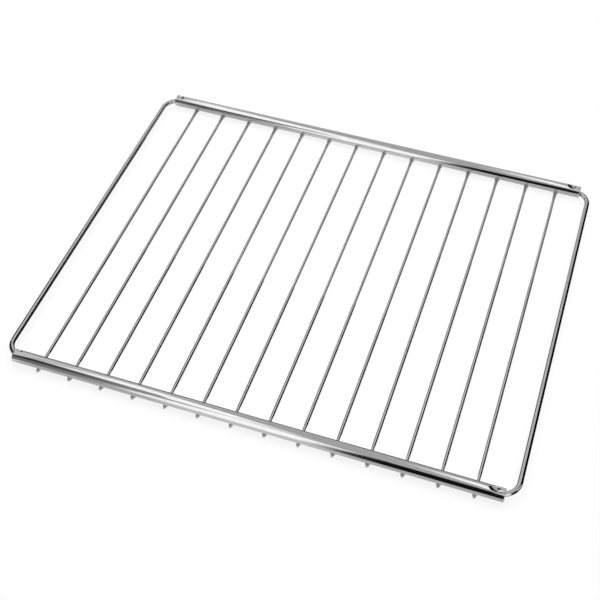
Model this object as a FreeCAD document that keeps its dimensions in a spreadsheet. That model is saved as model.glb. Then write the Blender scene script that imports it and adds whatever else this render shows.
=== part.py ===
"""Oven shelf rack of adjustable width: wires welded under two tubes, with a sliding arm at each side.

Frame, in millimetres: X runs along the two tubes, Y from the front tube to the rear one, Z up.
The origin is in the middle of the rack, on the surface that the cross wires lie on.
The arms are drawn pushed home, which is the rack's narrowest width.
"""
import FreeCAD
import Part
import Sketcher
import math
import os

# Driving sizes in millimetres, with what each one measures.
SIZES = (
    ("rail_length", 380.0, "length of a tube"),
    ("rail_diameter", 10.0, "outside of a tube"),
    ("rail_wall", 0.8, "wall of a tube"),
    ("rail_spacing", 321.0, "front tube to rear tube, axis to axis"),
    ("wire_count", 14, "number of cross wires"),
    ("wire_margin", 20.4, "end of a tube to the axis of the first cross wire"),
    ("wire_diameter", 2.5, "cross wire"),
    ("wire_overhang", 5.3, "tip of a cross wire past the tube's axis"),
    ("weld_sink", 0.2, "depth of the flat that the weld presses on a cross wire under a tube"),
    ("arm_diameter", 4.0, "wire of a sliding arm"),
    ("arm_bend", 13.8, "bend of an arm, at the wire's axis"),
    ("mouth_clearance", 0.9, "room between a bend and the tube's mouth with the arm home"),
    ("leg_gap", 25.0, "between the legs of the two arms, in the middle of a tube"),
    ("slide_travel", 125.0, "how far an arm pulls out"),
    ("crimp_length", 12.0, "pressed end of a tube, from its end to the inner end of the dimple"),
    ("crimp_drop", 0.45, "how far the top of the tube slopes down over the pressed end"),
    ("dimple_length", 8.5, "dimple in the top of a pressed end, along the tube"),
    ("dimple_depth", 1.3, "dimple, from the tube's top to its floor"),
    ("dimple_floor", 1.8, "width of the dimple's floor"),
    ("dimple_run", 1.0, "how far the dimple's walls lean out from its floor to the tube's top"),
    ("stop_clearance", 0.3, "room between an ear and the dimple at full travel"),
    ("ear_length", 6.0, "pinched ear that stops a leg at the pressed end"),
    ("ear_thickness", 1.8, "wire left between the pinched faces"),
    ("ear_clearance", 0.7, "room between an ear and the tube's bore"),
    ("cut_margin", 2.0, "how far a cutting shape runs past what it cuts"),
)
SHEET = "Sizes"

# Which pieces make up each group, in the order that they are exported.
RAIL_LABELS = {"front_rail": -1, "rear_rail": 1}
ARM_LABELS = {"right_arm": 0.0, "left_arm": 180.0}


def size(alias):
    """Expression text for one cell of the sheet."""
    return f"{SHEET}.{alias}"


# Sizes that follow from the driving ones, as expression text.
RAIL_RADIUS = f"({size('rail_diameter')} / 2)"
BORE_RADIUS = f"({RAIL_RADIUS} - {size('rail_wall')})"
WIRE_RADIUS = f"({size('wire_diameter')} / 2)"
ARM_RADIUS = f"({size('arm_diameter')} / 2)"
RAIL_END = f"({size('rail_length')} / 2)"
RAIL_LINE = f"({size('rail_spacing')} / 2)"

# A tube rests on flats on top of the wires, each as long as the tube is wide at the wire's crown.
WELD_SINK = size("weld_sink")
RAIL_RISE = f"({RAIL_RADIUS} + {WIRE_RADIUS} - {WELD_SINK})"
RAIL_HEIGHT = f"({WIRE_RADIUS} + {RAIL_RISE})"
WELD_LEVEL = f"({WIRE_RADIUS} - {WELD_SINK})"
WELD_HALF = f"sqrt({size('rail_diameter')} * {WELD_SINK} - {WELD_SINK} * {WELD_SINK})"

# The wires are spread evenly between the first and the last.
WIRE_PITCH = f"(({size('rail_length')} - 2 * {size('wire_margin')}) / ({size('wire_count')} - 1))"

# The dimple has a round end about each of two centres on the tube's axis, and walls that lean out.
DIMPLE_HALF = f"({size('dimple_floor')} / 2)"
DIMPLE_ROUND = f"({DIMPLE_HALF} + {size('dimple_run')})"
DIMPLE_INNER = f"({RAIL_END} - {size('crimp_length')} + {DIMPLE_ROUND})"
DIMPLE_OUTER = f"({RAIL_END} - {size('crimp_length')} + {size('dimple_length')} - {DIMPLE_ROUND})"

# With the arm home its bend reaches into the tube until it meets the inner side of the mouth.
BEND_DRIFT = f"({BORE_RADIUS} - {ARM_RADIUS} - {size('mouth_clearance')})"
BEND_INSIDE = f"sqrt(2 * {size('arm_bend')} * {BEND_DRIFT} - {BEND_DRIFT} * {BEND_DRIFT})"
ARM_LINE = f"({RAIL_END} + {size('arm_bend')} - {BEND_INSIDE})"
LEG_TIP = f"({size('leg_gap')} / 2)"

# At full travel the ears stand just short of the dimples, and they fit the bore.
EAR_OUTER = f"({RAIL_END} - {size('crimp_length')} - {size('stop_clearance')} - {size('slide_travel')})"
EAR_INNER = f"({EAR_OUTER} - {size('ear_length')})"
EAR_REACH = f"({BORE_RADIUS} - {size('ear_clearance')})"
EAR_HALF = f"sqrt({EAR_REACH} * {EAR_REACH} - {size('ear_thickness')} * {size('ear_thickness')} / 4)"
EAR_BULGE = f"({EAR_HALF} - {ARM_RADIUS})"
EAR_CHORD = f"({size('ear_length')} / 2)"
EAR_ROUND = f"(({EAR_CHORD} * {EAR_CHORD} + {EAR_BULGE} * {EAR_BULGE}) / (2 * {EAR_BULGE}))"

# Sketch references: the origin point, the horizontal axis, and the points of an edge.
ORIGIN = (-1, 1)
HORIZONTAL_AXIS = -1
START, END, CENTRE = 1, 2, 3
UP = FreeCAD.Vector(0, 0, 1)


def make_sheet(doc):
    """The driving sizes, one row each: the words, the number and its alias."""
    sheet = doc.addObject("Spreadsheet::Sheet", SHEET)
    for row, (alias, value, meaning) in enumerate(SIZES, start=1):
        sheet.set(f"A{row}", meaning)
        sheet.set(f"B{row}", str(value))
        sheet.setAlias(f"B{row}", alias)
    doc.recompute()
    return sheet


def value_of(owner, expression):
    """The number that an expression gives now, to start a sketch near its solution."""
    return float(owner.evalExpression(expression))


def origin_plane(body, role):
    """One of the body's own base planes."""
    return next(feature for feature in body.Origin.OriginFeatures if feature.Role == role)


def new_sketch(body, name, role, offset=None):
    """A sketch on a base plane of its body, moved along the plane's normal by an expression."""
    sketch = body.newObject("Sketcher::SketchObject", name)
    sketch.AttachmentSupport = (origin_plane(body, role), [""])
    sketch.MapMode = "FlatFace"
    if offset is not None:
        sketch.setExpression("AttachmentOffset.Base.z", offset)
    return sketch


def dimension(sketch, kind, references, expression):
    """A sketch dimension that is bound to the sheet."""
    index = sketch.addConstraint(Sketcher.Constraint(kind, *references, value_of(sketch, expression)))
    sketch.setExpression(f"Constraints[{index}]", expression)


def relate(sketch, kind, *references):
    """A sketch relation without a size, such as tangent or horizontal."""
    sketch.addConstraint(Sketcher.Constraint(kind, *references))


def line(sketch, start, end):
    """A straight stretch between two points of the sketch."""
    return sketch.addGeometry(Part.LineSegment(FreeCAD.Vector(*start, 0), FreeCAD.Vector(*end, 0)), False)


def arc(sketch, centre, radius, first, last):
    """A round stretch, counterclockwise from the first angle to the last, in degrees."""
    circle = Part.Circle(FreeCAD.Vector(*centre, 0), UP, radius)
    return sketch.addGeometry(Part.ArcOfCircle(circle, math.radians(first), math.radians(last)), False)


def rectangle(sketch, x_sides, y_sides):
    """A rectangle whose sides are placed by expressions, two along each axis."""
    first_x, last_x = (value_of(sketch, side) for side in x_sides)
    first_y, last_y = (value_of(sketch, side) for side in y_sides)
    corners = ((first_x, first_y), (last_x, first_y), (last_x, last_y), (first_x, last_y))
    ring = [line(sketch, start, end) for start, end in zip(corners, corners[1:] + corners[:1])]
    for before, after in zip(ring, ring[1:] + ring[:1]):
        relate(sketch, "Coincident", before, END, after, START)
    for flat, upright in (ring[:2], ring[2:]):
        relate(sketch, "Horizontal", flat)
        relate(sketch, "Vertical", upright)
    for corner, x_side, y_side in ((ring[0], x_sides[0], y_sides[0]), (ring[2], x_sides[1], y_sides[1])):
        dimension(sketch, "DistanceX", (*ORIGIN, corner, START), x_side)
        dimension(sketch, "DistanceY", (*ORIGIN, corner, START), y_side)


def circle_sketch(body, name, role, radius, across=None, offset=None):
    """A sketch of one circle, on the sketch's origin or moved across it."""
    sketch = new_sketch(body, name, role, offset)
    centre = value_of(sketch, across) if across else 0.0
    ring = Part.Circle(FreeCAD.Vector(centre, 0, 0), UP, value_of(sketch, radius))
    index = sketch.addGeometry(ring, False)
    if across:
        relate(sketch, "PointOnObject", index, CENTRE, HORIZONTAL_AXIS)
        dimension(sketch, "DistanceX", (*ORIGIN, index, CENTRE), across)
    else:
        relate(sketch, "Coincident", index, CENTRE, *ORIGIN)
    dimension(sketch, "Radius", (index,), radius)
    return sketch


def pad(body, name, sketch, length):
    """A symmetric pad whose full length is an expression."""
    feature = body.newObject("PartDesign::Pad", name)
    feature.Profile = sketch
    feature.SideType = "Symmetric"
    feature.setExpression("Length", length)
    return feature


def pocket_through(body, name, sketch):
    """A pocket that goes right through the body to both sides of the sketch."""
    feature = body.newObject("PartDesign::Pocket", name)
    feature.Profile = sketch
    feature.Type = "ThroughAll"
    feature.SideType = "Symmetric"
    return feature


def mirror(body, name, originals, role):
    """The same features on the other side of a base plane."""
    feature = body.newObject("PartDesign::Mirrored", name)
    feature.Originals = originals
    feature.MirrorPlane = (origin_plane(body, role), [""])
    body.Tip = feature
    return feature


# Tubes with pressed ends

def dimple_outline(body, name, level, radius):
    """Plan of the dimple at one level: two straight sides between two round ends."""
    sketch = new_sketch(body, name, "XY_Plane", level)
    inner_x = value_of(sketch, DIMPLE_INNER)
    outer_x = value_of(sketch, DIMPLE_OUTER)
    half = value_of(sketch, radius)
    inner = arc(sketch, (inner_x, 0), half, 90, 270)
    near = line(sketch, (inner_x, -half), (outer_x, -half))
    outer = arc(sketch, (outer_x, 0), half, 270, 450)
    far = line(sketch, (outer_x, half), (inner_x, half))
    ring = (inner, near, outer, far)
    for before, after in zip(ring, ring[1:] + ring[:1]):
        relate(sketch, "Tangent", before, END, after, START)
    relate(sketch, "Horizontal", near)
    relate(sketch, "PointOnObject", inner, CENTRE, HORIZONTAL_AXIS)
    relate(sketch, "PointOnObject", outer, CENTRE, HORIZONTAL_AXIS)
    dimension(sketch, "DistanceX", (*ORIGIN, inner, CENTRE), DIMPLE_INNER)
    dimension(sketch, "DistanceX", (*ORIGIN, outer, CENTRE), DIMPLE_OUTER)
    dimension(sketch, "Radius", (inner,), radius)
    return sketch


def slope_sketch(body, name, top):
    """Side view of what the sloping flat takes off the end, from well before the slope meets the top."""
    sketch = new_sketch(body, name, "XZ_Plane")
    drop = size("crimp_drop")
    before = f"{RAIL_END} - 2 * {size('crimp_length')}"
    beyond = f"{RAIL_END} + {size('crimp_length')}"
    above = f"{top} + {drop}"
    below = f"{top} - 2 * {drop}"
    before_x, beyond_x, above_z, below_z = (value_of(sketch, text) for text in (before, beyond, above, below))
    cover = line(sketch, (beyond_x, above_z), (before_x, above_z))
    slope = line(sketch, (before_x, above_z), (beyond_x, below_z))
    back = line(sketch, (beyond_x, below_z), (beyond_x, above_z))
    ring = (cover, slope, back)
    for first, second in zip(ring, ring[1:] + ring[:1]):
        relate(sketch, "Coincident", first, END, second, START)
    relate(sketch, "Horizontal", cover)
    relate(sketch, "Vertical", back)
    dimension(sketch, "DistanceX", (*ORIGIN, slope, START), before)
    dimension(sketch, "DistanceY", (*ORIGIN, slope, START), above)
    dimension(sketch, "DistanceX", (*ORIGIN, slope, END), beyond)
    dimension(sketch, "DistanceY", (*ORIGIN, slope, END), below)
    return sketch


def pressed_bar(doc, name, radius, length):
    """A round bar along X whose two ends slope down on top and have a dimple there."""
    body = doc.addObject("PartDesign::Body", name)
    bar = pad(body, f"{name}_bar", circle_sketch(body, f"{name}_section", "YZ_Plane", radius), length)
    flat = pocket_through(body, f"{name}_flat", slope_sketch(body, f"{name}_slope", radius))
    floor = dimple_outline(body, f"{name}_floor", f"{radius} - {size('dimple_depth')}", DIMPLE_HALF)
    above = dimple_outline(
        body, f"{name}_above", f"{radius} + {size('dimple_depth')}",
        f"{DIMPLE_HALF} + 2 * {size('dimple_run')}")
    dimple = body.newObject("PartDesign::SubtractiveLoft", f"{name}_dimple")
    dimple.Profile = floor
    dimple.Sections = [above]
    dimple.Ruled = True
    doc.recompute()
    if not dimple.Shape.Volume < flat.Shape.Volume < bar.Shape.Volume:
        raise RuntimeError(f"{name}: the press took nothing off the bar")
    mirror(body, f"{name}_ends", [flat, dimple], "YZ_Plane")
    return body


def make_rail(doc, label, side):
    """One tube: the pressed outside less a bore that is pressed in the same way, one wall lower."""
    outside = pressed_bar(doc, f"{label}_outside", RAIL_RADIUS, size("rail_length"))
    bore_length = f"{size('rail_length')} + 2 * {size('cut_margin')}"
    bore = pressed_bar(doc, f"{label}_bore", BORE_RADIUS, bore_length)
    rail = doc.addObject("Part::Cut", label)
    rail.Base = outside
    rail.Tool = bore
    rail.setExpression("Placement.Base.y", f"{side} * {RAIL_LINE}")
    rail.setExpression("Placement.Base.z", RAIL_HEIGHT)
    return rail


# Cross wires

def weld_sketch(body, name):
    """Side view, along X from the wire's axis, of what the welds press off the wire's top."""
    sketch = new_sketch(body, name, "YZ_Plane")
    above = f"{WIRE_RADIUS} + {size('cut_margin')}"
    for side in (-1, 1):
        ends = [f"{side} * {RAIL_LINE} {sign} {WELD_HALF}" for sign in "-+"]
        rectangle(sketch, ends, (WELD_LEVEL, above))
    return sketch


def make_cross_wire(doc, label, place):
    """One straight wire, cut square, with a flat under each tube where it is welded on."""
    body = doc.addObject("PartDesign::Body", label)
    rod_length = f"{size('rail_spacing')} + 2 * {size('wire_overhang')}"
    pad(body, f"{label}_rod", circle_sketch(body, f"{label}_section", "XZ_Plane", WIRE_RADIUS), rod_length)
    pocket_through(body, f"{label}_flats", weld_sketch(body, f"{label}_welds"))
    body.setExpression("Placement.Base.x", f"({place} - ({size('wire_count')} - 1) / 2) * {WIRE_PITCH}")
    body.setExpression("Placement.Base.z", WIRE_RADIUS)
    return body


# Sliding arms

def arm_route(body, name):
    """Axis of an arm in plan: a leg, a bend, the side bar, a bend and the other leg."""
    sketch = new_sketch(body, name, "XY_Plane")
    tip_x = value_of(sketch, LEG_TIP)
    bar_x = value_of(sketch, ARM_LINE)
    leg_y = value_of(sketch, RAIL_LINE)
    bend = value_of(sketch, size("arm_bend"))
    front_leg = line(sketch, (tip_x, -leg_y), (bar_x - bend, -leg_y))
    front_bend = arc(sketch, (bar_x - bend, bend - leg_y), bend, 270, 360)
    side_bar = line(sketch, (bar_x, bend - leg_y), (bar_x, leg_y - bend))
    rear_bend = arc(sketch, (bar_x - bend, leg_y - bend), bend, 0, 90)
    rear_leg = line(sketch, (bar_x - bend, leg_y), (tip_x, leg_y))
    run = (front_leg, front_bend, side_bar, rear_bend, rear_leg)
    for before, after in zip(run, run[1:]):
        relate(sketch, "Tangent", before, END, after, START)
    relate(sketch, "Horizontal", front_leg)
    relate(sketch, "Horizontal", rear_leg)
    relate(sketch, "Vertical", side_bar)
    dimension(sketch, "Radius", (front_bend,), size("arm_bend"))
    dimension(sketch, "Radius", (rear_bend,), size("arm_bend"))
    dimension(sketch, "DistanceX", (*ORIGIN, side_bar, START), ARM_LINE)
    dimension(sketch, "DistanceX", (*ORIGIN, front_leg, START), LEG_TIP)
    dimension(sketch, "DistanceX", (*ORIGIN, rear_leg, END), LEG_TIP)
    dimension(sketch, "DistanceY", (*ORIGIN, front_leg, START), f"-{RAIL_LINE}")
    dimension(sketch, "DistanceY", (*ORIGIN, rear_leg, END), RAIL_LINE)
    return sketch


def pinch_sketch(body, name):
    """Plan of the two strips that the pinch takes off the sides of the rear leg."""
    sketch = new_sketch(body, name, "XY_Plane")
    for side in (-1, 1):
        kept = f"{RAIL_LINE} + {side} * {size('ear_thickness')} / 2"
        free = f"{RAIL_LINE} + {side} * ({ARM_RADIUS} + {size('cut_margin')})"
        rectangle(sketch, (EAR_INNER, EAR_OUTER), (kept, free))
    return sketch


def ear_sketch(body, name):
    """Side view of an ear: the wire's height at both ends, bulged above and below between them."""
    sketch = new_sketch(body, name, "XZ_Plane", f"-{RAIL_LINE}")
    inner_x = value_of(sketch, EAR_INNER)
    outer_x = value_of(sketch, EAR_OUTER)
    wire = value_of(sketch, ARM_RADIUS)
    bulge = value_of(sketch, EAR_ROUND)
    middle_x = (inner_x + outer_x) / 2
    crown_z = value_of(sketch, EAR_HALF)
    swing = math.degrees(math.asin((outer_x - inner_x) / 2 / bulge))
    upper = arc(sketch, (middle_x, crown_z - bulge), bulge, 90 - swing, 90 + swing)
    inner = line(sketch, (inner_x, wire), (inner_x, -wire))
    lower = arc(sketch, (middle_x, bulge - crown_z), bulge, 270 - swing, 270 + swing)
    outer = line(sketch, (outer_x, -wire), (outer_x, wire))
    ring = (upper, inner, lower, outer)
    for before, after in zip(ring, ring[1:] + ring[:1]):
        relate(sketch, "Coincident", before, END, after, START)
    relate(sketch, "Vertical", inner)
    relate(sketch, "Vertical", outer)
    dimension(sketch, "DistanceX", (*ORIGIN, inner, START), EAR_INNER)
    dimension(sketch, "DistanceX", (*ORIGIN, outer, START), EAR_OUTER)
    dimension(sketch, "DistanceY", (*ORIGIN, inner, START), ARM_RADIUS)
    dimension(sketch, "DistanceY", (*ORIGIN, inner, END), f"-{ARM_RADIUS}")
    dimension(sketch, "DistanceY", (*ORIGIN, outer, START), f"-{ARM_RADIUS}")
    dimension(sketch, "DistanceY", (*ORIGIN, outer, END), ARM_RADIUS)
    dimension(sketch, "Radius", (upper,), EAR_ROUND)
    dimension(sketch, "Radius", (lower,), EAR_ROUND)
    return sketch


def make_arm(doc, label, turn):
    """One arm: a bent wire whose legs slide in the tubes, with a pinched ear on each leg as its stop."""
    body = doc.addObject("PartDesign::Body", label)
    section = circle_sketch(
        body, f"{label}_section", "YZ_Plane", ARM_RADIUS, across=f"-{RAIL_LINE}", offset=LEG_TIP)
    wire = body.newObject("PartDesign::AdditivePipe", f"{label}_wire")
    wire.Profile = section
    wire.Spine = arm_route(body, f"{label}_route")
    pinch = pocket_through(body, f"{label}_pinch", pinch_sketch(body, f"{label}_pinched"))
    ear = pad(body, f"{label}_ear", ear_sketch(body, f"{label}_ear_side"), size("ear_thickness"))
    mirror(body, f"{label}_ears", [pinch, ear], "XZ_Plane")
    body.Placement = FreeCAD.Placement(FreeCAD.Vector(), FreeCAD.Rotation(UP, turn))
    body.setExpression("Placement.Base.z", RAIL_HEIGHT)
    return body


def check_document(doc, pieces):
    """Stop before anything is written if a feature failed or a piece is not one sound solid."""
    for item in doc.Objects:
        if "Invalid" in item.State or "Error" in item.State:
            raise RuntimeError(f"{item.Name} failed: {item.State}")
    for piece in pieces:
        shape = piece.Shape
        if shape.isNull() or not shape.isValid() or len(shape.Solids) != 1:
            raise RuntimeError(f"{piece.Label} is not one sound solid")


def main():
    doc = FreeCAD.newDocument("oven_shelf_rack")
    sheet = make_sheet(doc)
    pieces = [make_rail(doc, label, side) for label, side in RAIL_LABELS.items()]
    for place in range(int(sheet.wire_count)):
        pieces.append(make_cross_wire(doc, f"cross_wire_{place + 1:02d}", place))
    pieces += [make_arm(doc, label, turn) for label, turn in ARM_LABELS.items()]
    doc.recompute()
    check_document(doc, pieces)
    os.makedirs("parts", exist_ok=True)
    for piece in pieces:
        piece.Shape.exportStep(f"parts/{piece.Label}.step")


main()
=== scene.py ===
"""Looks of the oven shelf rack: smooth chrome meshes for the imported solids, a pale studio and the camera.

Metres, in the frame of the solids: X along the tubes, Y from the front tube to the rear one, Z up.
"""
import math
import random

import bmesh
import bpy
from mathutils import Matrix, Vector


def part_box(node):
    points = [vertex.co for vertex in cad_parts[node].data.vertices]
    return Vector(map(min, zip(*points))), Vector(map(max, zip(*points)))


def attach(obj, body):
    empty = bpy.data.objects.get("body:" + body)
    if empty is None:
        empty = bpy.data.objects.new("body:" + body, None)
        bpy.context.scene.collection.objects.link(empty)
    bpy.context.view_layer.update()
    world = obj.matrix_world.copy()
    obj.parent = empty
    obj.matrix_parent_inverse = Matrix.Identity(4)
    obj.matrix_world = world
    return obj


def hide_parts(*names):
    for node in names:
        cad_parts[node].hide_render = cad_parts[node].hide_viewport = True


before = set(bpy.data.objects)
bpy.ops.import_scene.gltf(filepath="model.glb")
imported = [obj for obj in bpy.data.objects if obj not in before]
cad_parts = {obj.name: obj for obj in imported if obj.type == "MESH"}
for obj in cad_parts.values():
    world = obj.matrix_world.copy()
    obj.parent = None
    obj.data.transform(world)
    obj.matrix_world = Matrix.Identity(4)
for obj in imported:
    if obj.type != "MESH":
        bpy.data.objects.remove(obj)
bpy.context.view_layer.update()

MM = 0.001
RACK, LEFT, RIGHT = "rack", "left_slider", "right_slider"
RAILS = ("front_rail", "rear_rail")
WIRES = sorted(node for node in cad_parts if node.startswith("cross_wire"))
ARMS = {"left_arm": LEFT, "right_arm": RIGHT}

# Sizes read from the solids
RAIL_LOW, RAIL_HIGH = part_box(RAILS[0])
RAIL_END = RAIL_HIGH.x
RAIL_RADIUS = (RAIL_HIGH.z - RAIL_LOW.z) / 2
RAIL_Z = (RAIL_HIGH.z + RAIL_LOW.z) / 2
RAIL_Y = -(RAIL_HIGH.y + RAIL_LOW.y) / 2
WIRE_LOW, WIRE_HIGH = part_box(WIRES[0])
WIRE_RADIUS = (WIRE_HIGH.z - WIRE_LOW.z) / 2
WIRE_Z = (WIRE_HIGH.z + WIRE_LOW.z) / 2
WIRE_TIP = WIRE_HIGH.y
ARM_LOW, ARM_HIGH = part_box("right_arm")

# Tube ends. The wall and the slope of the top are as in the solids
RAIL_WALL = 0.8 * MM
CRIMP_LENGTH = 12.0 * MM
CRIMP_DROP = 0.45 * MM

# The dimple at each end is pressed a little differently, as in the photo. It begins at "start" from the
# tube's end, goes down over "run" to "depth", and rises to "end_depth" at the mouth. "skew" moves the
# start with Y. Along Y, "centre" is its middle, "flat" half its bottom and "half_width" half its width
FRONT_RIGHT = {
    "start": 12.6 * MM, "run": 7.0 * MM, "depth": 2.2 * MM, "end_depth": 0.7 * MM,
    "skew": 0.75, "centre": 0.0 * MM, "flat": 0.3 * MM, "half_width": 2.9 * MM,
}
REAR_RIGHT = {
    "start": 12.2 * MM, "run": 7.4 * MM, "depth": 2.6 * MM, "end_depth": 1.4 * MM,
    "skew": 0.6, "centre": 0.0 * MM, "flat": 0.5 * MM, "half_width": 3.1 * MM,
}
FRONT_LEFT = {
    "start": 6.5 * MM, "run": 2.5 * MM, "depth": 0.8 * MM, "end_depth": 0.0 * MM,
    "skew": 0.0, "centre": 2.2 * MM, "flat": 0.3 * MM, "half_width": 1.2 * MM,
}
REAR_LEFT = {
    "start": 8.5 * MM, "run": 4.5 * MM, "depth": 1.8 * MM, "end_depth": 0.4 * MM,
    "skew": -0.6, "centre": 0.5 * MM, "flat": 0.3 * MM, "half_width": 2.9 * MM,
}
BORE_SHARE = 0.7
SLOPE_SOFTNESS = 0.5 * MM
PRESS_REACH = 26.0 * MM
RIM_ROUND = 0.2 * MM

# Arms
ARM_RADIUS = 2.0 * MM
ARM_BEND = 13.8 * MM
EAR_INNER, EAR_OUTER = 46.7 * MM, 52.7 * MM
EAR_HALF_THICKNESS = 0.9 * MM
EAR_HALF_HEIGHT = 3.38 * MM
EAR_BLEND = 0.8 * MM
LEG_TIP_BEVEL = 0.6 * MM

# Wire tips and welds
TIP_LENGTH = 2.0 * MM
TIP_FLAT = 0.35
WELD_REACH = 3.7 * MM
WELD_FULL = 1.8 * MM
WELD_SPREAD = 0.84
WELD_BITE = 0.15 * MM
FLARE_FULL = 1.0 * MM
FLARE_REACH = 5.0 * MM
WELD_SPREAD_VARIATION = 0.25
WELD_SEED = 14

# How finely the meshes are divided
RAIL_SIDES = 96
WIRE_SIDES = 32
ARM_SIDES = 48
PRESS_STEP = 0.4 * MM
WELD_STEP = 0.25 * MM
STRAIGHT_STEP = 6.0 * MM
EAR_STEP = 0.25 * MM
BEND_STEPS = 48
TIP_STEPS = 8
RIM_STEPS = 4


# Mesh helpers

def smooth_step(value, first, last):
    """0 before first and 1 after last, with an even start and stop."""
    share = min(max((value - first) / (last - first), 0.0), 1.0)
    return share * share * (3.0 - 2.0 * share)


def soft_min(a, b, softness):
    """The lower of two values, rounded off where they cross."""
    share = min(max(0.5 + 0.5 * (b - a) / softness, 0.0), 1.0)
    return b + (a - b) * share - softness * share * (1.0 - share)


def spaced(first, last, step):
    """Values from first to last, both included, about one step apart."""
    count = max(1, round(abs(last - first) / step))
    return [first + (last - first) * i / count for i in range(count + 1)]


def ring_angles(sides):
    """Angles round a section, from the top."""
    return [2.0 * math.pi * i / sides for i in range(sides)]


def skin(name, rings, material, closed=False):
    """An object skinned over rings of points: a loop when closed, otherwise capped at both ends."""
    mesh = bpy.data.meshes.new(name)
    shape = bmesh.new()
    rows = [[shape.verts.new(point) for point in ring] for ring in rings]
    pairs = list(zip(rows, rows[1:]))
    if closed:
        pairs.append((rows[-1], rows[0]))
    for row, following in pairs:
        for i, vertex in enumerate(row):
            j = (i + 1) % len(row)
            shape.faces.new((vertex, row[j], following[j], following[i]))
    if not closed:
        shape.faces.new(rows[0])
        shape.faces.new(rows[-1])
    bmesh.ops.recalc_face_normals(shape, faces=shape.faces)
    for face in shape.faces:
        face.smooth = True
    shape.to_mesh(mesh)
    shape.free()
    mesh.materials.append(material)
    piece = bpy.data.objects.new(name, mesh)
    bpy.context.scene.collection.objects.link(piece)
    return piece


def dress(piece, body, node):
    """Tie a piece to its body, and hide the solid that it stands for."""
    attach(piece, body)
    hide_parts(node)


# Materials

# Noise in the plating: cells to a metre along the stock and across it, detail, roughness
DRAWN_NOISE = (40.0, 2500.0, 3.0, 0.6)
CLOUD_NOISE = (180.0, 180.0, 4.0, 0.55)
PIT_NOISE = (1500.0, 1500.0, 2.0, 0.5)
WAVE_NOISE = (60.0, 220.0, 1.0, 0.4)

# Ramps over that noise, as (noise, share of the full value)
CLOUD_SHARES = ((0.3, 0.94), (0.7, 1.04))
PIT_SHARES = ((0.18, 0.55), (0.26, 1.0))
GLOSS_SHARES = ((0.3, 1.5), (0.7, 0.8))
STREAK_LOW, STREAK_HIGH = 0.3, 0.65

# Bumps: height and strength
WAVE_BUMP = (0.06 * MM, 0.5)
DRAWN_BUMP = (0.004 * MM, 0.4)

NEW_STOP = 0.5
WHITE = (1.0, 1.0, 1.0, 1.0)


class Nodes:
    """Short ways to add and join the nodes of one material."""

    def __init__(self, material):
        material.use_nodes = True
        self.tree = material.node_tree
        self.shader = self.tree.nodes["Principled BSDF"]

    def add(self, kind, **settings):
        node = self.tree.nodes.new(kind)
        for key, value in settings.items():
            setattr(node, key, value)
        return node

    def link(self, source, target):
        self.tree.links.new(source, target)

    def stretched(self, scale):
        """Object coordinates, scaled along each axis."""
        place = self.add("ShaderNodeTexCoord")
        mapping = self.add("ShaderNodeMapping")
        mapping.inputs["Scale"].default_value = scale
        self.link(place.outputs["Object"], mapping.inputs["Vector"])
        return mapping.outputs["Vector"]

    def noise(self, along, long_way, across, detail, roughness):
        """Noise over object coordinates, stretched along one axis."""
        node = self.add("ShaderNodeTexNoise")
        node.inputs["Scale"].default_value = 1.0
        node.inputs["Detail"].default_value = detail
        node.inputs["Roughness"].default_value = roughness
        scale = [long_way if axis == along else across for axis in "XYZ"]
        self.link(self.stretched(scale), node.inputs["Vector"])
        return node.outputs["Fac"]

    def ramp(self, factor, stops):
        """A colour ramp of greys, given as (place, grey)."""
        node = self.add("ShaderNodeValToRGB")
        elements = node.color_ramp.elements
        while len(elements) < len(stops):
            elements.new(NEW_STOP)
        for element, (place, grey) in zip(elements, stops):
            element.position = place
            element.color = (grey, grey, grey, 1.0)
        self.link(factor, node.inputs["Fac"])
        return node.outputs["Color"]

    def mix(self, kind, factor, first, second):
        """Two colours mixed in the given way."""
        node = self.add("ShaderNodeMix", data_type="RGBA", blend_type=kind)
        node.inputs["Factor"].default_value = factor
        self.link(first, node.inputs["A"])
        self.link(second, node.inputs["B"])
        return node.outputs["Result"]

    def bump(self, height, distance, strength, below=None):
        """A bump from a height, over another bump where one is given."""
        node = self.add("ShaderNodeBump")
        node.inputs["Distance"].default_value = distance
        node.inputs["Strength"].default_value = strength
        self.link(height, node.inputs["Height"])
        if below is not None:
            self.link(below, node.inputs["Normal"])
        return node.outputs["Normal"]


def chrome(name, along, grey, roughness, streak):
    """Chrome plating over drawn steel: streaks along the stock, clouds, pits and waves."""
    material = bpy.data.materials.new(name)
    nodes = Nodes(material)
    shader = nodes.shader
    shader.inputs["Metallic"].default_value = 1.0
    drawn = nodes.noise(along, *DRAWN_NOISE)
    clouds = nodes.noise(along, *CLOUD_NOISE)
    pits = nodes.noise(along, *PIT_NOISE)
    waves = nodes.noise(along, *WAVE_NOISE)

    body = nodes.ramp(clouds, [(place, grey * share) for place, share in CLOUD_SHARES])
    lines = nodes.ramp(drawn, [(STREAK_LOW, 1.0 - streak), (STREAK_HIGH, 1.0)])
    specks = nodes.ramp(pits, PIT_SHARES)
    colour = nodes.mix("MULTIPLY", 1.0, nodes.mix("MULTIPLY", 1.0, body, lines), specks)
    nodes.link(colour, shader.inputs["Base Color"])

    gloss = nodes.ramp(drawn, [(place, roughness * share) for place, share in GLOSS_SHARES])
    nodes.link(gloss, shader.inputs["Roughness"])

    uneven = nodes.bump(waves, *WAVE_BUMP)
    nodes.link(nodes.bump(drawn, *DRAWN_BUMP, uneven), shader.inputs["Normal"])
    return material


RAIL_CHROME = chrome("rail_chrome", along="X", grey=0.52, roughness=0.035, streak=0.10)
WIRE_CHROME = chrome("wire_chrome", along="Y", grey=0.55, roughness=0.14, streak=0.16)
ARM_CHROME = chrome("arm_chrome", along="Y", grey=0.50, roughness=0.05, streak=0.10)


# Tubes

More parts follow.
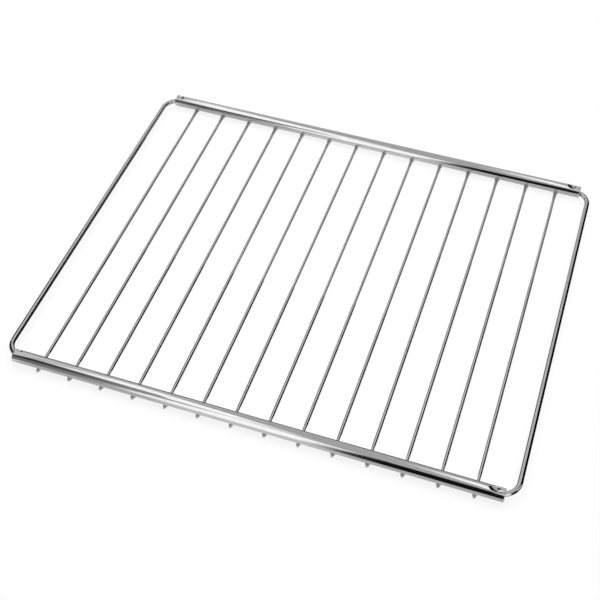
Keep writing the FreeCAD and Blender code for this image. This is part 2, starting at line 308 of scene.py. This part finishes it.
def dimple_at(x, centre_y):
    """The dimple of the tube end that is nearest."""
    if centre_y < 0.0:
        return FRONT_RIGHT if x > 0.0 else FRONT_LEFT
    return REAR_RIGHT if x > 0.0 else REAR_LEFT


def pressed_point(x, angle, radius, dimple):
    """A point of a tube's section at x, with the slope and the dimple of the pressed end."""
    inset = RAIL_END - abs(x)
    y = radius * math.sin(angle)
    z = radius * math.cos(angle)
    slope = radius - CRIMP_DROP * (1.0 - inset / CRIMP_LENGTH)
    start = dimple["start"] + dimple["skew"] * y
    foot = dimple["start"] - dimple["run"]
    dent = dimple["end_depth"] + (dimple["depth"] - dimple["end_depth"]) * min(inset / foot, 1.0)
    dent *= 1.0 - smooth_step(inset, start - dimple["run"], start)
    dent *= 1.0 - smooth_step(abs(y - dimple["centre"]), dimple["flat"], dimple["half_width"])
    if z < 0.0:
        dent = 0.0
    if radius < RAIL_RADIUS:
        dent *= BORE_SHARE
    return Vector((x, y, soft_min(z, slope, SLOPE_SOFTNESS) - dent))


def rail_ring(x, depth, centre_y):
    """A ring of the tube at x: depth 0 is the outside and depth 1 the bore."""
    centre = Vector((0.0, centre_y, RAIL_Z))
    dimple = dimple_at(x, centre_y)
    ring = []
    for angle in ring_angles(RAIL_SIDES):
        outside = pressed_point(x, angle, RAIL_RADIUS, dimple)
        bore = pressed_point(x, angle, RAIL_RADIUS - RAIL_WALL, dimple)
        ring.append(centre + outside.lerp(bore, depth))
    return ring


def rail_rim():
    """The tube's cut end from the outside to the bore, as (inset, depth), with both edges rounded."""
    outer = []
    for i in range(RIM_STEPS + 1):
        turn = math.pi / 2 * i / RIM_STEPS
        outer.append((RIM_ROUND * (1.0 - math.sin(turn)), RIM_ROUND / RAIL_WALL * (1.0 - math.cos(turn))))
    inner = [(inset, 1.0 - depth) for inset, depth in reversed(outer)]
    return outer + inner


def make_rail(node):
    """One tube, skinned from the left along the outside, round the right rim and back through the bore."""
    low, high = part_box(node)
    centre_y = (low.y + high.y) / 2
    press_start = RAIL_END - PRESS_REACH
    right = spaced(press_start, RAIL_END - RIM_ROUND, PRESS_STEP)
    middle = spaced(-press_start, press_start, STRAIGHT_STEP)[1:-1]
    outside = [-x for x in reversed(right)] + middle + right
    run = [(x, 0.0) for x in outside[1:-1]]
    run += [(RAIL_END - inset, depth) for inset, depth in rail_rim()]
    run += [(x, 1.0) for x in reversed(outside[1:-1])]
    run += [(inset - RAIL_END, depth) for inset, depth in reversed(rail_rim())]
    rings = [rail_ring(x, depth, centre_y) for x, depth in run]
    dress(skin(f"{node}_tube", rings, RAIL_CHROME, closed=True), RACK, node)


# Cross wires

def tip_scale(distance):
    """Share of the wire's radius at a distance from its tip, which is domed to a small flat."""
    share = min(distance / TIP_LENGTH, 1.0)
    return TIP_FLAT + (1.0 - TIP_FLAT) * math.sqrt(1.0 - (1.0 - share) ** 2)


def wire_ring(x, y, spreads):
    """A ring of a wire at y: round, domed at the tips, and drawn up to the tube where it is welded."""
    radius = WIRE_RADIUS * tip_scale(WIRE_TIP - abs(y))
    offset = abs(abs(y) - RAIL_Y)
    weld = 1.0 - smooth_step(offset, WELD_FULL, WELD_REACH)
    spread = spreads[y > 0] * (1.0 - smooth_step(offset, FLARE_FULL, FLARE_REACH))
    rise = 0.0
    if weld > 0.0:
        underside = RAIL_Z - math.sqrt(RAIL_RADIUS ** 2 - offset ** 2) - WIRE_Z
        rise = (underside + WELD_BITE - radius) * weld
    ring = []
    for angle in ring_angles(WIRE_SIDES):
        upper = max(math.cos(angle), 0.0)
        side = radius * math.sin(angle) * (1.0 + spread * min(1.0 + math.cos(angle), 1.0))
        height = radius * math.cos(angle) + rise * upper ** 2
        ring.append(Vector((x + side, y, WIRE_Z + height)))
    return ring


def make_wire(node, draw):
    """One cross wire, with welds that differ a little from one another."""
    low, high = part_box(node)
    x = (low.x + high.x) / 2
    spreads = [WELD_SPREAD * (1.0 + WELD_SPREAD_VARIATION * draw.uniform(-1.0, 1.0)) for _ in range(2)]
    turns = [math.pi / 2 * i / TIP_STEPS for i in range(TIP_STEPS + 1)]
    tip = [WIRE_TIP - TIP_LENGTH * (1.0 - math.cos(turn)) for turn in turns]
    weld = spaced(tip[-1], RAIL_Y - WELD_REACH, WELD_STEP)
    half = tip[:-1] + weld
    straight = spaced(weld[-1], -weld[-1], STRAIGHT_STEP)
    stations = half + straight[1:-1] + [-y for y in reversed(half)]
    rings = [wire_ring(x, y, spreads) for y in stations]
    dress(skin(f"{node}_rod", rings, WIRE_CHROME), RACK, node)


# Sliding arms

def arm_section(leg_place):
    """Half thickness and half height of the wire at a place along a leg, pinched at the ear."""
    if leg_place is None:
        return ARM_RADIUS, ARM_RADIUS
    pinch = smooth_step(leg_place, EAR_INNER, EAR_INNER + EAR_BLEND)
    pinch *= 1.0 - smooth_step(leg_place, EAR_OUTER - EAR_BLEND, EAR_OUTER)
    middle = (EAR_INNER + EAR_OUTER) / 2
    half_length = (EAR_OUTER - EAR_INNER) / 2
    bulge = max(0.0, 1.0 - ((leg_place - middle) / half_length) ** 2)
    thickness = ARM_RADIUS + (EAR_HALF_THICKNESS - ARM_RADIUS) * pinch
    height = ARM_RADIUS + (EAR_HALF_HEIGHT - ARM_RADIUS) * bulge
    return thickness, height


def arm_route():
    """Stations along the right arm: point on its axis, direction in plan, and place along a leg."""
    bar_x = ARM_HIGH.x - ARM_RADIUS
    bend_x = bar_x - ARM_BEND
    bend_y = RAIL_Y - ARM_BEND
    leg = spaced(ARM_LOW.x, EAR_INNER, STRAIGHT_STEP)[:-1]
    leg += spaced(EAR_INNER, EAR_OUTER, EAR_STEP)
    leg += spaced(EAR_OUTER, bend_x, STRAIGHT_STEP)[1:]
    front = [(Vector((x, -RAIL_Y, 0.0)), 0.0, x) for x in leg]
    for i in range(1, BEND_STEPS + 1):
        turn = math.pi / 2 * i / BEND_STEPS
        place = Vector((bend_x + ARM_BEND * math.sin(turn), -bend_y - ARM_BEND * math.cos(turn), 0.0))
        front.append((place, turn, None))
    bar_places = spaced(-bend_y, bend_y, STRAIGHT_STEP)[1:-1]
    bar = [(Vector((bar_x, y, 0.0)), math.pi / 2, None) for y in bar_places]
    rear = []
    for place, turn, leg_place in reversed(front):
        rear.append((Vector((place.x, -place.y, 0.0)), math.pi - turn, leg_place))
    return front + bar + rear


def make_arm(node, body):
    """One arm, swept along its route; the left arm is the right one turned half round."""
    turn_round = Matrix.Rotation(math.pi if body == LEFT else 0.0, 3, "Z")
    lift = Vector((0.0, 0.0, RAIL_Z))
    route = arm_route()
    rings = []
    for place, turn, leg_place in route:
        outward = Vector((math.sin(turn), -math.cos(turn), 0.0))
        thickness, height = arm_section(leg_place)
        at_tip = place.x - ARM_LOW.x < LEG_TIP_BEVEL / 2
        shrink = 1.0 - LEG_TIP_BEVEL / ARM_RADIUS if at_tip else 1.0
        ring = []
        for angle in ring_angles(ARM_SIDES):
            across = outward * (thickness * shrink * math.sin(angle))
            upward = Vector((0.0, 0.0, height * shrink * math.cos(angle)))
            ring.append(turn_round @ (place + across + upward) + lift)
        rings.append(ring)
    dress(skin(f"{node}_wire", rings, ARM_CHROME), body, node)


def build_rack():
    """Every piece of the rack."""
    draw = random.Random(WELD_SEED)
    for node in RAILS:
        make_rail(node)
    for node in WIRES:
        make_wire(node, draw)
    for node, body in ARMS.items():
        make_arm(node, body)


# Studio

FLOOR_HALF = 60.0
FLOOR_GREY = 0.9
FLOOR_WHITE = 0.85


def seen_directly(tree):
    """1 for rays from the camera, and for the reflections that show the same background."""
    path = tree.nodes.new("ShaderNodeLightPath")
    total = path.outputs["Is Camera Ray"]
    for name in ("Is Glossy Ray", "Is Transmission Ray"):
        add = tree.nodes.new("ShaderNodeMath")
        add.operation = "MAXIMUM"
        tree.links.new(total, add.inputs[0])
        tree.links.new(path.outputs[name], add.inputs[1])
        total = add.outputs[0]
    return total


def plate(name, corners, material):
    """A flat four-cornered sheet of the studio."""
    mesh = bpy.data.meshes.new(name)
    mesh.from_pydata(corners, [], [(0, 1, 2, 3)])
    mesh.materials.append(material)
    sheet = bpy.data.objects.new(name, mesh)
    bpy.context.scene.collection.objects.link(sheet)
    return sheet


def make_floor():
    """A plain white floor that keeps a faint shadow."""
    material = bpy.data.materials.new("floor_white")
    material.use_nodes = True
    tree = material.node_tree
    output = tree.nodes["Material Output"]
    tree.nodes.remove(tree.nodes["Principled BSDF"])
    paint = tree.nodes.new("ShaderNodeBsdfDiffuse")
    paint.inputs["Color"].default_value = (FLOOR_GREY, FLOOR_GREY, FLOOR_GREY, 1.0)
    white = tree.nodes.new("ShaderNodeEmission")
    white.inputs["Strength"].default_value = 1.0
    share = tree.nodes.new("ShaderNodeMath")
    share.operation = "MULTIPLY"
    share.inputs[1].default_value = FLOOR_WHITE
    tree.links.new(seen_directly(tree), share.inputs[0])
    blend = tree.nodes.new("ShaderNodeMixShader")
    tree.links.new(share.outputs[0], blend.inputs["Fac"])
    tree.links.new(paint.outputs[0], blend.inputs[1])
    tree.links.new(white.outputs[0], blend.inputs[2])
    tree.links.new(blend.outputs[0], output.inputs["Surface"])
    h = FLOOR_HALF
    plate("floor", [(-h, -h, 0.0), (h, -h, 0.0), (h, h, 0.0), (-h, h, 0.0)], material)


def level(low, high, z):
    """Corners of a level card between two corners in plan."""
    return [(low[0], low[1], z), (high[0], low[1], z), (high[0], high[1], z), (low[0], high[1], z)]


def flat(places, z):
    """Corners of a level card at four places in plan."""
    return [(*place, z) for place in places]


def upright(start, end, height):
    """Corners of a card that stands on the floor from one place in plan to another."""
    return [(*start, 0.0), (*end, 0.0), (*end, height), (*start, height)]


def card(name, corners, tone):
    """A studio card that only reflections see. Its tone is one grey, or greys at places along X."""
    material = bpy.data.materials.new(name)
    nodes = Nodes(material)
    output = nodes.tree.nodes["Material Output"]
    nodes.tree.nodes.remove(nodes.shader)
    glow = nodes.add("ShaderNodeEmission")
    if isinstance(tone, float):
        glow.inputs["Color"].default_value = (tone, tone, tone, 1.0)
    else:
        low = min(corner[0] for corner in corners)
        high = max(corner[0] for corner in corners)
        place = nodes.add("ShaderNodeTexCoord")
        split = nodes.add("ShaderNodeSeparateXYZ")
        nodes.link(place.outputs["Generated"], split.inputs["Vector"])
        stops = [((x - low) / (high - low), grey) for x, grey in tone]
        nodes.link(nodes.ramp(split.outputs["X"], stops), glow.inputs["Color"])
    nodes.link(glow.outputs[0], output.inputs["Surface"])
    sheet = plate(name, corners, material)
    sheet.visible_camera = False
    sheet.visible_diffuse = False
    sheet.visible_transmission = False
    sheet.visible_shadow = False


# Tones of the cards: one grey, or greys as (place along X, grey)
BLACK = 0.0
DARK = 0.012
BEND_GREY = 0.06
CEILING_GREY = 0.7
REAR_GREY = 0.74
LAMP = 1.85
FRONT_TONES = [
    (-1.2, 0.2), (-0.56, 0.27), (-0.47, 0.42), (-0.43, 0.6), (-0.40, 1.0), (-0.36, LAMP),
    (-0.11, LAMP), (-0.08, 1.0), (-0.04, 0.1), (0.01, DARK),
]
FRONT_FLOOR_TONES = [
    (-0.22, 0.35), (-0.14, 0.45), (-0.105, 0.95), (-0.08, 1.5),
    (0.015, 1.5), (0.035, 0.7), (0.055, 0.1), (0.08, DARK),
]
REAR_FLOOR_TONES = [
    (-0.19, 0.3), (-0.12, 0.5), (-0.08, 0.7), (-0.05, 1.1),
    (0.04, 1.2), (0.07, 0.6), (0.10, 0.2), (0.13, 0.05),
]
APRON_TONES = [(-0.19, 0.75), (-0.09, 0.78), (-0.05, 1.0), (0.04, 1.0), (0.08, 0.78), (0.19, 0.75)]
LEFT_LAMP_TONES = [
    (-0.62, 0.7), (-0.58, 1.0), (-0.53, 1.6), (-0.47, LAMP),
    (-0.25, LAMP), (-0.17, 1.3), (-0.10, 0.75),
]
RIGHT_LAMP_TONES = [(0.02, 0.7), (0.08, 1.2), (0.15, LAMP), (0.25, LAMP)]
LEFT_HOOD_TONES = [(-0.60, 0.02), (-0.34, 0.04), (-0.28, 0.18), (-0.22, 0.45), (-0.17, 0.65)]
REAR_TONES = [(-1.5, REAR_GREY), (0.35, REAR_GREY), (0.5, BLACK)]

# Heights of the level cards
FLAG_Z = 0.0003
STRIP_Z = 0.0004
HOOD_Z = 0.34
LAMP_Z = 1.0
CEILING_Z = 1.6

# Corners in plan that the cards at the front right share, near the rack and far from it
MOUTH_NEAR, MOUTH_FAR = (0.224, -0.2), (0.783, -0.969)
BEND_NEAR, BEND_FAR = (0.238, -0.185), (1.061, -0.66)
SIDE_NEAR, SIDE_FAR = (0.24, -0.18), (1.061, -0.18)

# Upright cards: start and end in plan, and height
FRONT_CARD = ((-1.2, -1.0), (0.215, -1.0), 1.37)
MOUTH_CARD = (MOUTH_FAR, BEND_FAR, 1.0)
BEND_CARD = (BEND_FAR, SIDE_FAR, 0.65)
REAR_CARD = ((-1.5, 1.5), (1.5, 1.5), 0.8)
RIGHT_CARD = ((0.8, 0.15), (0.8, 2.0), CEILING_Z)
LEFT_CARD = ((-1.0, 0.3), (-1.0, 0.65), 0.75)
LEFT_BEND_CARD = ((-0.45, -0.30), (-0.45, -0.04), 0.18)
LEFT_LOW_CARD = ((-1.0, 0.65), (-1.0, 2.0), 0.25)

# Level cards: two opposite corners in plan, and height
FRONT_FLAG = ((-1.0, -1.0), (0.2, -0.208), FLAG_Z)
FRONT_APRON = ((-0.19, -0.208), (0.19, -0.15), FLAG_Z)
MIDDLE_FLAG = ((-0.19, -0.145), (0.19, -0.02), FLAG_Z)
REAR_FLAG = ((-0.19, -0.02), (0.19, 0.054), FLAG_Z)
REAR_APRON = ((-0.19, 0.054), (0.19, 0.17), FLAG_Z)
LEFT_STRIP = ((-0.198, -0.15), (-0.172, 0.11), STRIP_Z)
RIGHT_FLAG = ((0.202, -0.18), (0.8, 1.02), FLAG_Z)
LEFT_FLAG = ((-0.8, -0.18), (-0.208, 1.02), FLAG_Z)
LEFT_HOOD = ((-0.60, -0.50), (-0.17, -0.21), HOOD_Z)
LEFT_SIDE_HOOD = ((-0.80, -0.21), (-0.41, 0.12), HOOD_Z)
CEILING = ((-0.8, -3.0), (3.0, 3.0), CEILING_Z)

# Level cards with slanting edges: four corners in plan, and height
MOUTH_FLAG = ((MOUTH_NEAR, MOUTH_FAR, BEND_FAR, BEND_NEAR), FLAG_Z)
BEND_FLAG = ((BEND_NEAR, BEND_FAR, SIDE_FAR, SIDE_NEAR), FLAG_Z)
LEFT_LAMP = (((-0.62, -0.65), (-0.10, -0.65), (-0.10, -0.29), (-0.62, 1.0)), LAMP_Z)
RIGHT_LAMP = (((0.02, 0.30), (0.25, -0.39), (0.25, 0.46), (0.02, 1.15)), LAMP_Z)


def make_cards():
    """Cards round the rack, which give the chrome its bands."""
    card("front_card", upright(*FRONT_CARD), FRONT_TONES)
    card("mouth_card", upright(*MOUTH_CARD), LAMP)
    card("mouth_flag", flat(*MOUTH_FLAG), LAMP)
    card("bend_card", upright(*BEND_CARD), BLACK)
    card("bend_flag", flat(*BEND_FLAG), BLACK)
    card("rear_card", upright(*REAR_CARD), REAR_TONES)
    card("right_card", upright(*RIGHT_CARD), BLACK)
    card("left_card", upright(*LEFT_CARD), BLACK)
    card("left_bend_card", upright(*LEFT_BEND_CARD), BEND_GREY)
    card("left_low_card", upright(*LEFT_LOW_CARD), BLACK)

    card("front_flag", level(*FRONT_FLAG), FRONT_FLOOR_TONES)
    card("front_apron", level(*FRONT_APRON), APRON_TONES)
    card("middle_flag", level(*MIDDLE_FLAG), BLACK)
    card("rear_flag", level(*REAR_FLAG), REAR_FLOOR_TONES)
    card("rear_apron", level(*REAR_APRON), APRON_TONES)
    card("left_strip", level(*LEFT_STRIP), BLACK)
    card("right_flag", level(*RIGHT_FLAG), BLACK)
    card("left_flag", level(*LEFT_FLAG), BLACK)

    card("left_hood", level(*LEFT_HOOD), LEFT_HOOD_TONES)
    card("left_side_hood", level(*LEFT_SIDE_HOOD), BLACK)
    card("left_lamp", flat(*LEFT_LAMP), LEFT_LAMP_TONES)
    card("right_lamp", flat(*RIGHT_LAMP), RIGHT_LAMP_TONES)
    card("ceiling", level(*CEILING), CEILING_GREY)


KEY_PLACE = (0.0, 0.24, 1.2)
KEY_SIZE = (1.6, 1.15)
KEY_POWER = 18.5
WORLD_FILL = 0.35


def make_light():
    """One large soft lamp overhead, and a white surrounding."""
    lamp = bpy.data.lights.new("softbox", "AREA")
    lamp.shape = "RECTANGLE"
    lamp.size, lamp.size_y = KEY_SIZE
    lamp.energy = KEY_POWER
    softbox = bpy.data.objects.new("softbox", lamp)
    softbox.location = KEY_PLACE
    softbox.visible_glossy = False
    bpy.context.scene.collection.objects.link(softbox)

    world = bpy.data.worlds.new("studio")
    bpy.context.scene.world = world
    world.use_nodes = True
    tree = world.node_tree
    fill = tree.nodes["Background"]
    fill.inputs["Color"].default_value = WHITE
    fill.inputs["Strength"].default_value = WORLD_FILL
    white = tree.nodes.new("ShaderNodeBackground")
    white.inputs["Color"].default_value = WHITE
    white.inputs["Strength"].default_value = 1.0
    blend = tree.nodes.new("ShaderNodeMixShader")
    tree.links.new(seen_directly(tree), blend.inputs["Fac"])
    tree.links.new(fill.outputs[0], blend.inputs[1])
    tree.links.new(white.outputs[0], blend.inputs[2])
    tree.links.new(blend.outputs[0], tree.nodes["World Output"].inputs["Surface"])


# Camera, as fitted to the photograph's straight lines

CAMERA_AZIMUTH = math.radians(17.794)
CAMERA_ELEVATION = math.radians(49.314)
CAMERA_ROLL = math.radians(0.952)
CAMERA_TARGET = Vector((-3.3, -32.5, 1.9)) * MM
CAMERA_DISTANCE = 898.4 * MM
CAMERA_LENS = 67.0


def make_camera():
    """The photograph's viewpoint."""
    reach = math.cos(CAMERA_ELEVATION)
    back = Vector((
        math.sin(CAMERA_AZIMUTH) * reach,
        -math.cos(CAMERA_AZIMUTH) * reach,
        math.sin(CAMERA_ELEVATION),
    ))
    right = Vector((math.cos(CAMERA_AZIMUTH), math.sin(CAMERA_AZIMUTH), 0.0))
    up = back.cross(right)
    tilt = Matrix.Rotation(CAMERA_ROLL, 3, back)
    axes = Matrix((tilt @ right, tilt @ up, back)).transposed().to_4x4()
    lens = bpy.data.cameras.new("camera")
    lens.lens = CAMERA_LENS
    camera = bpy.data.objects.new("camera", lens)
    camera.matrix_world = Matrix.Translation(CAMERA_TARGET + back * CAMERA_DISTANCE) @ axes
    bpy.context.scene.collection.objects.link(camera)
    bpy.context.scene.camera = camera


build_rack()
make_floor()
make_cards()
make_light()
make_camera()
bpy.context.scene.view_settings.view_transform = "Standard"
